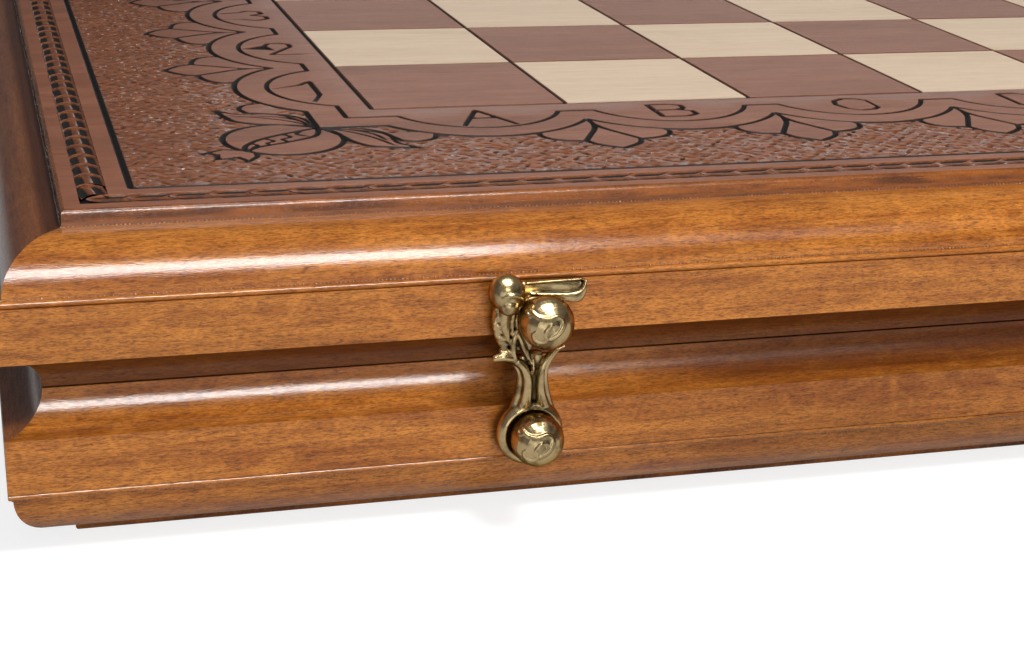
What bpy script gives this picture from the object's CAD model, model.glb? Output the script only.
"""Looks of a folding chess box: carved playing faces, moulded frame and cast hook latches."""

from __future__ import annotations

import logging
import math
from collections.abc import Callable, Iterable, Sequence
from dataclasses import dataclass, field
from enum import Enum

import bmesh
import bpy
import numpy as np
from mathutils import Matrix, Vector
from mathutils.geometry import delaunay_2d_cdt
from mathutils.kdtree import KDTree


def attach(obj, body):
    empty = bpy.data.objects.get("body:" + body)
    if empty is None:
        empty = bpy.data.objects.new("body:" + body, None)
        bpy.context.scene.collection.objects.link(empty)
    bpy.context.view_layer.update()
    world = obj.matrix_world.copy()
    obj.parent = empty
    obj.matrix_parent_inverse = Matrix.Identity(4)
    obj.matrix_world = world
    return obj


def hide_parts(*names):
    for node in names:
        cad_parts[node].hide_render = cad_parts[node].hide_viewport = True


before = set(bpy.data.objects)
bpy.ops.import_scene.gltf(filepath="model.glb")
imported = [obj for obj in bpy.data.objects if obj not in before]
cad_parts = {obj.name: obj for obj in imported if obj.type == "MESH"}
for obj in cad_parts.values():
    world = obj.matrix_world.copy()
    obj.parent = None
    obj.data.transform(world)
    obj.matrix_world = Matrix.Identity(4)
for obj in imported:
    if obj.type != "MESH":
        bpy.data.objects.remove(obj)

log = logging.getLogger("chess_box")

MM = 0.001
PARTING = 35 * MM
Point = tuple[float, float]
Place = tuple[float, float, float]
Colour = tuple[float, float, float]
Span = tuple[float, float]


def tone(red: int, green: int, blue: int) -> Colour:
    """Linear colour of an 8-bit display colour."""
    return tuple(
        (c / 255 / 12.92) if c <= 10 else ((c / 255 + 0.055) / 1.055) ** 2.4
        for c in (red, green, blue)
    )


class Grain(Enum):
    """Direction in which a piece of wood runs."""

    ALONG_X = "x"
    ALONG_Y = "y"


class Tray(Enum):
    """The two trays: body, height of the playing face in millimetres and the way it faces."""

    LID = ("lid", 70.0, 1.0)
    BASE = ("base", 0.0, -1.0)

    @property
    def body(self) -> str:
        """Name of the tray's body."""
        return self.value[0]

    @property
    def up(self) -> float:
        """1 where the playing face looks up and -1 where it looks down."""
        return self.value[2]

    def place(self, plan: np.ndarray) -> np.ndarray:
        """Turns plan points (x, y, depth in mm) into metres on this tray's playing face.

        Args:
            plan: Array of x, y and depth below the playing face, in millimetres.

        Returns:
            Array of points in metres.
        """
        out = np.asarray(plan, dtype=float).copy()
        out[:, 2] = self.value[1] - self.up * out[:, 2]
        return out * MM


class Shader:
    """Builder for one material's node tree."""

    def __init__(self, name: str) -> None:
        """Starts an empty node material.

        Args:
            name: Name of the material.
        """
        self.material = bpy.data.materials.new(name)
        self.material.use_nodes = True
        self.tree = self.material.node_tree
        self.tree.nodes.clear()
        self.output = self.tree.nodes.new("ShaderNodeOutputMaterial")

    def node(self, kind: str, inputs: dict | None = None, **settings) -> bpy.types.Node:
        """Adds a node.

        Args:
            kind: Blender's name of the node, without its leading "ShaderNode".
            inputs: Values or source sockets by input name or number.
            **settings: Properties of the node.

        Returns:
            The node.
        """
        made = self.tree.nodes.new("ShaderNode" + kind)
        for key, value in settings.items():
            setattr(made, key, value)
        for key, value in (inputs or {}).items():
            socket = made.inputs[key]
            if isinstance(value, bpy.types.NodeSocket):
                self.tree.links.new(value, socket)
            elif isinstance(value, tuple) and len(value) == 3 and socket.type == "RGBA":
                socket.default_value = (*value, 1.0)
            else:
                socket.default_value = value
        return made

    def place(self, scale: Sequence[float] = (1, 1, 1),
              shift: Sequence[float] = (0, 0, 0)) -> bpy.types.NodeSocket:
        """Object coordinates, shifted and scaled.

        Args:
            scale: Scale of each axis.
            shift: Shift of each axis.

        Returns:
            The vector.
        """
        coords = self.node("TexCoord").outputs["Object"]
        mapping = self.node("Mapping", {"Vector": coords, "Scale": tuple(scale), "Location": tuple(shift)})
        return mapping.outputs["Vector"]

    def axes(self) -> tuple[bpy.types.NodeSocket, ...]:
        """X, Y and Z of the object coordinates."""
        return tuple(self.node("SeparateXYZ", {0: self.place()}).outputs)

    def noise(self, vector: bpy.types.NodeSocket, scale: float = 1, detail: float = 3, rough: float = 0.6,
              twist: float = 0) -> bpy.types.NodeSocket:
        """Noise texture's factor.

        Args:
            vector: Coordinates.
            scale: Scale of the noise.
            detail: Number of octaves.
            rough: Share that each octave keeps.
            twist: Distortion.

        Returns:
            The factor.
        """
        return self.node("TexNoise", {"Vector": vector, "Scale": scale, "Detail": detail,
                                      "Roughness": rough, "Distortion": twist}).outputs["Fac"]

    def math(self, operation: str, first: float | bpy.types.NodeSocket,
             second: float | bpy.types.NodeSocket = 0.5,
             third: float | bpy.types.NodeSocket = 0.5) -> bpy.types.NodeSocket:
        """Result of one calculation on numbers or sockets."""
        return self.node("Math", {0: first, 1: second, 2: third}, operation=operation).outputs[0]

    def ramp(self, factor: bpy.types.NodeSocket, span: Span, most: float = 1.0) -> bpy.types.NodeSocket:
        """Factor stretched smoothly, so that the span's start gives 0 and its end gives most."""
        return self.node("MapRange", {"Value": factor, "From Min": span[0], "From Max": span[1],
                                      "To Max": most}, interpolation_type="SMOOTHSTEP").outputs["Result"]

    def mix(self, factor: float | bpy.types.NodeSocket, first: Colour | bpy.types.NodeSocket,
            second: Colour | bpy.types.NodeSocket) -> bpy.types.NodeSocket:
        """Mix of two colours.

        Args:
            factor: Share of the second colour.
            first: First colour, a socket or a linear colour.
            second: Second colour, a socket or a linear colour.

        Returns:
            The mixed colour.
        """
        return self.node("Mix", {0: factor, 6: first, 7: second}, data_type="RGBA").outputs[2]

    def blend(self, factor: bpy.types.NodeSocket, first: bpy.types.NodeSocket,
              second: bpy.types.NodeSocket) -> bpy.types.NodeSocket:
        """Mix of two numbers."""
        return self.node("Mix", {0: factor, 2: first, 3: second}).outputs[0]

    def bump(self, height: bpy.types.NodeSocket, strength: float, distance: float) -> bpy.types.NodeSocket:
        """Bumped normal.

        Args:
            height: Height factor.
            strength: Strength of the bump.
            distance: Height in metres of a factor of 1.

        Returns:
            The normal.
        """
        return self.node("Bump", {"Height": height, "Strength": strength, "Distance": distance}).outputs[0]

    def surface(self, shader: bpy.types.Node) -> bpy.types.Material:
        """Ends the tree in a shader and gives back the material."""
        self.tree.links.new(shader.outputs[0], self.output.inputs["Surface"])
        return self.material

    def finish(self, inputs: dict) -> bpy.types.Material:
        """Ends the tree in a Principled shader with these inputs and gives back the material."""
        return self.surface(self.node("BsdfPrincipled", inputs))


@dataclass(frozen=True)
class Figure:
    """One scale of a wood's figure: how far it is drawn out, its size in metres and its noise."""

    stretch: float
    size: float
    detail: float = 3
    rough: float = 0.6
    twist: float = 0.0


BROAD = Figure(7, 0.16, rough=0.55, twist=0.7)
RING = Figure(16, 0.055, detail=4, twist=0.5)
FIBRE = Figure(18, 0.012, twist=0.2)
DASH = Figure(5, 0.0012, detail=2, twist=0.4)
STREAK = Figure(7, 0.0034, twist=0.5)
CLOUD = Figure(1.6, 0.011, twist=0.9)
RIPPLE = Figure(5, 0.006, twist=0.4)


@dataclass(frozen=True)
class CoveStain:
    """Stain that gathers in the hollows beside the parting, more in the upper one."""

    hollow: Span = (0.0068, 0.0082)
    seam: Span = (0.0348, 0.0352)
    old_end: Span = (-0.12, -0.06)
    cloud: Place = (22, 22, 60)
    drift: float = 0.12
    upper: float = 0.62
    lower: float = 0.12
    old_hollow: float = 0.62
    old_band: float = 0.28
    beside_panel: Span = (0.2815, 0.2845)
    beside: float = 0.85

    def share(self, made: Shader, side: bool) -> bpy.types.NodeSocket:
        """Share of the stain.

        Args:
            made: The material being built.
            side: Whether it is a side rail, which is stained beside the panel too.

        Returns:
            The share.
        """
        x, _, height = made.axes()
        away = made.math("ABSOLUTE", made.math("SUBTRACT", height, PARTING))
        hollow = made.math("SUBTRACT", 1.0, made.ramp(away, self.hollow))
        upper = made.ramp(height, self.seam)
        cloud = made.math("MULTIPLY_ADD", made.noise(made.place(self.cloud)), self.drift, x)
        old = made.math("MULTIPLY", made.ramp(cloud, self.old_end), made.math("SUBTRACT", 1.0, upper))
        lower = made.math("MULTIPLY_ADD", old, self.old_hollow, self.lower)
        stained = made.math("MULTIPLY", hollow, made.math("MULTIPLY_ADD", upper, self.upper, lower))
        stained = made.math("MAXIMUM", stained, made.math("MULTIPLY", old, self.old_band))
        if not side:
            return stained
        beside = made.math("SUBTRACT", 1.0, made.ramp(made.math("ABSOLUTE", x), self.beside_panel))
        return made.math("MAXIMUM", stained, made.math("MULTIPLY", beside, self.beside))


@dataclass(frozen=True)
class CutStain:
    """Warm flanks and burnt bottoms of the cuts, and the lacquered rim of the panel."""

    warm: Colour = tone(128, 70, 26)
    burnt: Colour = tone(16, 10, 8)
    warm_depth: Span = (0.05, 0.2)
    burnt_depth: Span = (0.28, 0.5)
    line_depth: float = 0.3
    speck_scale: float = 700
    speck: Span = (0.36, 0.68)
    warm_gloss: float = -0.1
    burnt_rough: float = 0.4
    warm_coat: float = 0.35
    rim_x: float = 0.2782
    rim_y: float = -0.1307
    rim_grain: Place = (60, 60, 400)
    rim_streaks: Span = (0.35, 0.7)
    rim_pale: Colour = tone(140, 78, 24)
    rim_dark: Colour = tone(84, 42, 12)
    rim_rough: float = 0.22
    rim_coat: float = 0.55

    def apply(self, made: Shader, colour: bpy.types.NodeSocket, rough: bpy.types.NodeSocket,
              dark: Colour) -> tuple[bpy.types.NodeSocket, ...]:
        """Stains the cuts and the rim.

        Args:
            made: The material being built.
            colour: Colour of the uncut face.
            rough: Roughness of the uncut face.
            dark: Darkest colour of the wood.

        Returns:
            The colour, the roughness and the weight of the lacquer.
        """
        x, y, height = made.axes()
        from_parting = made.math("ABSOLUTE", made.math("SUBTRACT", height, PARTING))
        depth = made.math("MULTIPLY", made.math("SUBTRACT", PARTING, from_parting), 1 / MM)
        speck = made.ramp(made.noise(made.place(), self.speck_scale, rough=0.65), self.speck)
        flank = made.mix(speck, self.warm, dark)
        line = made.node("Attribute", attribute_name="burn").outputs["Fac"]
        warm = made.ramp(depth, self.warm_depth)
        burnt = made.ramp(made.math("MULTIPLY_ADD", line, self.line_depth, depth), self.burnt_depth)
        cut = made.mix(burnt, made.mix(warm, colour, flank), self.burnt)
        rough = made.math("MULTIPLY_ADD", warm, self.warm_gloss, rough)
        rough = made.math("MULTIPLY_ADD", burnt, self.burnt_rough, rough)
        past_side = made.math("SUBTRACT", made.math("ABSOLUTE", x), self.rim_x)
        past_front = made.math("SUBTRACT", self.rim_y, y)
        rim = made.math("GREATER_THAN", made.math("MAXIMUM", past_side, past_front), 0.0)
        edge = made.mix(made.ramp(made.noise(made.place(self.rim_grain)), self.rim_streaks),
                        self.rim_pale, self.rim_dark)
        edge_rough = made.math("MULTIPLY_ADD", speck, 0.1, self.rim_rough)
        clear = made.math("MULTIPLY", made.math("SUBTRACT", 1.0, burnt), self.warm_coat)
        coat = made.math("MAXIMUM", made.math("MULTIPLY", rim, self.rim_coat),
                         made.math("MULTIPLY", warm, clear))
        return made.mix(rim, cut, edge), made.blend(rim, rough, edge_rough), coat


@dataclass(frozen=True)
class Wood:
    """A stained and lacquered wood."""

    name: str
    pale: Colour
    body: Colour
    dark: Colour
    grain: Grain = Grain.ALONG_X
    fleck: float = 0.5
    mottle: float = 0.4
    roughness: float = 0.42
    specular: float = 0.5
    coat: float = 0.0
    coat_roughness: float = 0.08
    relief: float = 0.00008
    shift: float = 0.0
    cuts: CutStain | None = None
    coves: CoveStain | None = None
    coat_in_coves: float = 0.7

    def material(self) -> bpy.types.Material:
        """Builds the wood's node material.

        Returns:
            The material.
        """
        made = Shader(self.name)
        long_x = self.grain is Grain.ALONG_X

        def figure(kind: Figure) -> bpy.types.NodeSocket:
            """Noise of one scale, drawn out along the grain."""
            wide, narrow = 1 / kind.size, kind.stretch / kind.size
            scale = (wide, narrow, narrow) if long_x else (narrow, wide, narrow)
            place = made.place(scale, (self.shift * 9, self.shift * 5, self.shift * 7))
            return made.noise(place, 1.0, kind.detail, kind.rough, kind.twist)

        broad, fibre = figure(BROAD), figure(FIBRE)
        dashes = made.ramp(figure(DASH), (0.42, 0.62), 0.6)
        fleck = made.math("MULTIPLY_ADD", made.ramp(figure(STREAK), (0.46, 0.68)), 0.45, dashes)
        tint = made.math("MULTIPLY_ADD", figure(RING), 0.55, made.math("MULTIPLY", broad, 0.5))
        colour = made.mix(made.ramp(tint, (0.38, 0.68)), self.body, self.pale)
        colour = made.mix(made.ramp(broad, (0.5, 0.72), 0.4), colour, self.dark)
        colour = made.mix(made.ramp(fibre, (0.45, 0.75), 0.35), colour, self.dark)
        colour = made.mix(made.ramp(figure(CLOUD), (0.46, 0.72), self.mottle), colour, self.pale)
        colour = made.mix(made.math("MULTIPLY", fleck, self.fleck), colour, self.dark)
        rough = made.math("MULTIPLY_ADD", fibre, 0.16, self.roughness - 0.08)
        coat: float | bpy.types.NodeSocket = self.coat
        if self.cuts:
            colour, rough, coat = self.cuts.apply(made, colour, rough, self.dark)
        if self.coves:
            shade = self.coves.share(made, not long_x)
            colour = made.mix(shade, colour, self.dark)
            coat = made.math("MULTIPLY_ADD", shade, -self.coat_in_coves, self.coat)
        pores = made.math("MULTIPLY_ADD", fleck, -0.6, made.math("MULTIPLY", fibre, 0.5))
        film = made.math("MULTIPLY_ADD", fleck, -0.35, figure(RIPPLE))
        return made.finish({"Base Color": colour, "Roughness": rough, "Coat Weight": coat,
                            "Normal": made.bump(pores, 0.6, self.relief),
                            "Specular IOR Level": self.specular, "Coat Roughness": self.coat_roughness,
                            "Coat Normal": made.bump(film, 0.3, self.relief * 1.2)})


@dataclass(frozen=True)
class Brass:
    """Brass with tarnish in its hollows."""

    name: str
    bright: Colour
    tarnish: Colour
    roughness: float = 0.26
    tarnish_share: float = 0.5
    relief: float = 0.00006
    edge: Colour = tone(160, 130, 90)
    soot: Colour = tone(20, 15, 10)
    cast: bool = False
    recess_depth: Span = (0.035, 0.17)
    crest_height: Span = (0.03, 0.22)

    def material(self) -> bpy.types.Material:
        """Builds the metal's node material.

        Returns:
            The material.
        """
        made = Shader(self.name)
        place = made.place()
        patches = made.noise(place, 240, 4, 0.6, 0.5)
        colour = made.mix(made.ramp(patches, (0.42, 0.7), self.tarnish_share), self.bright, self.tarnish)
        rough = made.math("MULTIPLY_ADD", patches, 0.22, self.roughness - 0.08)
        if self.cast:
            hollow = made.node("Attribute", attribute_name="hollow").outputs["Fac"]
            crest = made.ramp(made.math("MULTIPLY", hollow, -1.0), self.crest_height)
            recess = made.ramp(hollow, self.recess_depth)
            colour = made.mix(recess, made.mix(crest, colour, self.bright), self.soot)
            rough = made.math("MULTIPLY_ADD", recess, 0.35, rough)
        height = made.math("MULTIPLY_ADD", made.noise(place, 1500), 0.35, patches)
        return made.finish({"Base Color": colour, "Metallic": 1.0, "Roughness": rough,
                            "Specular Tint": self.edge, "Normal": made.bump(height, 0.5, self.relief)})


FRONT_MOULDING = Wood("moulding lacquered along x", tone(204, 128, 50), tone(150, 82, 24), tone(66, 28, 8),
                      fleck=0.72, mottle=0.6, specular=0.1, coat=1.0, coat_roughness=0.09, coves=CoveStain())
SIDE_MOULDING = Wood("moulding lacquered along y", tone(160, 94, 42), tone(124, 66, 26), tone(54, 25, 10),
                     grain=Grain.ALONG_Y, fleck=0.6, mottle=0.5, specular=0.2, coat=1.0, coat_roughness=0.14,
                     shift=0.31, coves=CoveStain())
PANEL_EDGE = Wood("panel edge", tone(140, 80, 34), tone(104, 56, 22), tone(50, 24, 10), coat=0.8, shift=0.7)
CARVED = Wood("carved walnut", tone(156, 101, 74), tone(132, 81, 58), tone(79, 44, 30), fleck=0.35,
              mottle=0.2, roughness=0.4, specular=0.4, coat_roughness=0.1, shift=0.13, cuts=CutStain())
WALNUT = Wood("dark walnut squares", tone(159, 108, 83), tone(138, 88, 66), tone(84, 49, 37), fleck=0.35,
              mottle=0.2, roughness=0.4, specular=0.4, shift=0.43)
MAPLE = Wood("maple squares", tone(226, 201, 172), tone(216, 189, 160), tone(186, 154, 122), fleck=0.15,
             mottle=0.3, roughness=0.4, specular=0.4, relief=0.00003, shift=0.57)
FIELD = Wood("playing field veneer", tone(176, 128, 84), tone(154, 106, 66), tone(92, 58, 34), coat=0.3,
             coat_roughness=0.2, shift=0.91)
POINT_PALE = Wood("pale points", tone(224, 196, 150), tone(208, 176, 128), tone(160, 124, 80), fleck=0.15,
                  coat=0.3, coat_roughness=0.2, shift=0.23)
POINT_DARK = Wood("dark points", tone(96, 56, 36), tone(76, 40, 26), tone(38, 20, 14), fleck=0.3, coat=0.3,
                  coat_roughness=0.2, shift=0.37)
GLUE_LINE = Wood("lacquered joint", tone(196, 150, 112), tone(150, 100, 64), tone(50, 28, 16), fleck=0.9,
                 coat=1.0, coat_roughness=0.04, shift=0.77)
HINGE_BRASS = Brass("hinge brass", tone(226, 190, 110), tone(150, 116, 60), roughness=0.24,
                    tarnish_share=0.35)
CAST_BRASS = Brass("antique cast brass", tone(219, 193, 143), tone(84, 67, 42), roughness=0.22,
                   tarnish_share=0.7, cast=True)


def smooth_path(points: Iterable[Point], step: float = 0.7) -> np.ndarray:
    """Smooth curve through points, as evenly spaced points.

    Args:
        points: Points to pass through, in millimetres.
        step: Distance between the resulting points.

    Returns:
        Array of x and y.
    """
    knots = [np.array(p, dtype=float) for p in points]
    knots = [2 * knots[0] - knots[1], *knots, 2 * knots[-1] - knots[-2]]
    dense: list[np.ndarray] = []
    for before, p1, p2, after in zip(knots, knots[1:], knots[2:], knots[3:]):
        for t in np.linspace(0, 1, 24, endpoint=False):
            dense.append(0.5 * (2 * p1 + (p2 - before) * t + (2 * before - 5 * p1 + 4 * p2 - after) * t * t
                                + (3 * p1 - before - 3 * p2 + after) * t ** 3))
    dense.append(knots[-2])
    return spaced(np.array(dense), step)


def run_along(path: np.ndarray) -> np.ndarray:
    """Distance along a polyline of each of its points."""
    return np.concatenate([[0], np.cumsum(np.linalg.norm(np.diff(path, axis=0), axis=1))])


def spaced(path: np.ndarray, step: float) -> np.ndarray:
    """Points at even distances along a polyline.

    Args:
        path: Polyline's points.
        step: Greatest distance between the resulting points.

    Returns:
        Array of points, with the same ends.
    """
    path = np.asarray(path, dtype=float)
    run = run_along(path)
    count = max(2, int(math.ceil(run[-1] / step)) + 1)
    at = np.linspace(0, run[-1], count)
    return np.stack([np.interp(at, run, path[:, k]) for k in range(path.shape[1])], axis=1)


def corners_path(points: Iterable[Point], step: float = 0.8) -> np.ndarray:
    """Straight pieces through points, each divided evenly, with the corners kept.

    Args:
        points: Corner points in millimetres.
        step: Greatest distance between the resulting points.

    Returns:
        Array of x and y.
    """
    corners = [np.array(p, dtype=float) for p in points]
    parts = [spaced(np.array([a, b]), step)[:-1] for a, b in zip(corners, corners[1:])]
    return np.vstack([*parts, corners[-1][None]])


def arc_path(centre: Point, radius: float, start: float, end: float, step: float = 0.8) -> np.ndarray:
    """Circular arc between two angles in degrees.

    Args:
        centre: Centre in millimetres.
        radius: Radius in millimetres.
        start: First angle.
        end: Last angle.
        step: Greatest distance between points.

    Returns:
        Array of x and y.
    """
    count = max(3, int(abs(math.radians(end - start)) * radius / step) + 2)
    angles = np.radians(np.linspace(start, end, count))
    return np.stack([centre[0] + radius * np.cos(angles), centre[1] + radius * np.sin(angles)], axis=1)


def inside(points: np.ndarray, polygon: np.ndarray) -> np.ndarray:
    """Tells which points lie in a polygon.

    Args:
        points: Array of x and y.
        polygon: Closed outline's points.

    Returns:
        Array of truth values.
    """
    result = np.zeros(len(points), dtype=bool)
    low, high = polygon.min(axis=0), polygon.max(axis=0)
    near = np.where(np.all((points[:, :2] >= low) & (points[:, :2] <= high), axis=1))[0]
    if not len(near):
        return result
    x, y = points[near, 0], points[near, 1]
    hit = np.zeros(len(near), dtype=bool)
    for (x1, y1), (x2, y2) in zip(polygon, np.roll(polygon, -1, axis=0)):
        crosses = (y1 > y) != (y2 > y)
        if y1 != y2:
            hit ^= crosses & (x < (x2 - x1) * (y - y1) / (y2 - y1) + x1)
    result[near] = hit
    return result


def linked(name: str, data: bpy.types.ID) -> bpy.types.Object:
    """New object for some data, linked to the scene."""
    made = bpy.data.objects.new(name, data)
    bpy.context.scene.collection.objects.link(made)
    return made


def shaped(name: str, points: np.ndarray, faces: Sequence[Sequence[int]],
           sharp: float = 35.0) -> bpy.types.Object:
    """Mesh object from points in metres, smooth except at sharp edges.

    Args:
        name: Name of the piece.
        points: Array of points.
        faces: Corner numbers of each face.
        sharp: Angle in degrees above which an edge stays sharp.

    Returns:
        The object, linked to the scene.
    """
    mesh = bpy.data.meshes.new(name)
    mesh.from_pydata([tuple(p) for p in points], [], [tuple(int(i) for i in f) for f in faces])
    mesh.validate()
    mesh.shade_smooth()
    mesh.set_sharp_from_angle(angle=math.radians(sharp))
    return linked(name, mesh)


def plain_copy(carrier: bpy.types.Object) -> bpy.types.Mesh:
    """An object's mesh with its modifiers applied."""
    return bpy.data.meshes.new_from_object(carrier.evaluated_get(bpy.context.evaluated_depsgraph_get()))


def dress(piece: bpy.types.Object, material: bpy.types.Material) -> None:
    """Gives a piece one material."""
    piece.data.materials.clear()
    piece.data.materials.append(material)


@dataclass(frozen=True)
class Cut:
    """A V-shaped cut along a line in the plate."""

    path: np.ndarray
    half_width: float = 0.6
    depth: float = 0.85
    taper: float = 0.0
    burnt: bool = True

    def share(self) -> np.ndarray:
        """Share of the full depth at each point of the path."""
        if not self.taper:
            return np.ones(len(self.path))
        run = run_along(self.path)
        return np.clip(np.minimum(run, run[-1] - run) / self.taper + 0.15, 0, 1)


GLYPHS: dict[str, list[list[Point]]] = {
    "A": [[(0, 0), (0.5, 1), (1, 0)], [(0.2, 0.36), (0.8, 0.36)]],
    "B": [[(0.05, 0), (0.05, 1), (0.6, 1), (0.82, 0.88), (0.82, 0.66), (0.6, 0.54), (0.05, 0.54)],
          [(0.6, 0.54), (0.9, 0.42), (0.92, 0.14), (0.66, 0), (0.05, 0)]],
    "C": [[(0.95, 0.8), (0.75, 0.96), (0.45, 1), (0.15, 0.83), (0.02, 0.5), (0.15, 0.17), (0.45, 0),
           (0.75, 0.04), (0.95, 0.2)]],
    "D": [[(0.05, 0), (0.05, 1), (0.5, 1), (0.82, 0.83), (0.95, 0.5), (0.82, 0.17), (0.5, 0), (0.05, 0)]],
    "E": [[(0.9, 1), (0.08, 1), (0.08, 0), (0.9, 0)], [(0.08, 0.52), (0.72, 0.52)]],
    "F": [[(0.9, 1), (0.1, 1), (0.1, 0)], [(0.1, 0.52), (0.72, 0.52)]],
    "G": [[(0.93, 0.82), (0.75, 0.96), (0.45, 1), (0.15, 0.83), (0.02, 0.5), (0.15, 0.17), (0.45, 0),
           (0.78, 0.04), (0.95, 0.18), (0.95, 0.44), (0.6, 0.44)]],
    "H": [[(0.05, 0), (0.05, 1)], [(0.95, 0), (0.95, 1)], [(0.05, 0.52), (0.95, 0.52)]],
    "1": [[(0.22, 0.74), (0.56, 1), (0.56, 0)]],
    "2": [[(0.1, 0.78), (0.25, 0.96), (0.55, 1), (0.85, 0.88), (0.85, 0.66), (0.1, 0), (0.92, 0)]],
    "3": [[(0.12, 0.86), (0.4, 1), (0.78, 0.92), (0.82, 0.68), (0.45, 0.54)],
          [(0.45, 0.54), (0.88, 0.4), (0.88, 0.14), (0.5, 0), (0.08, 0.14)]],
    "4": [[(0.72, 0), (0.72, 1), (0.06, 0.3), (0.96, 0.3)]],
    "5": [[(0.85, 1), (0.2, 1), (0.14, 0.56), (0.5, 0.64), (0.86, 0.5), (0.88, 0.18), (0.5, 0), (0.1, 0.12)]],
    "6": [[(0.78, 0.96), (0.4, 0.82), (0.12, 0.4), (0.2, 0.1), (0.5, 0), (0.84, 0.12), (0.86, 0.4),
           (0.52, 0.54), (0.16, 0.38)]],
    "7": [[(0.08, 1), (0.92, 1), (0.4, 0)]],
    "8": [[(0.5, 0.54), (0.16, 0.68), (0.2, 0.93), (0.5, 1), (0.8, 0.93), (0.84, 0.68), (0.5, 0.54),
           (0.08, 0.36), (0.12, 0.08), (0.5, 0), (0.88, 0.08), (0.92, 0.36), (0.5, 0.54)]],
}


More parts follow.
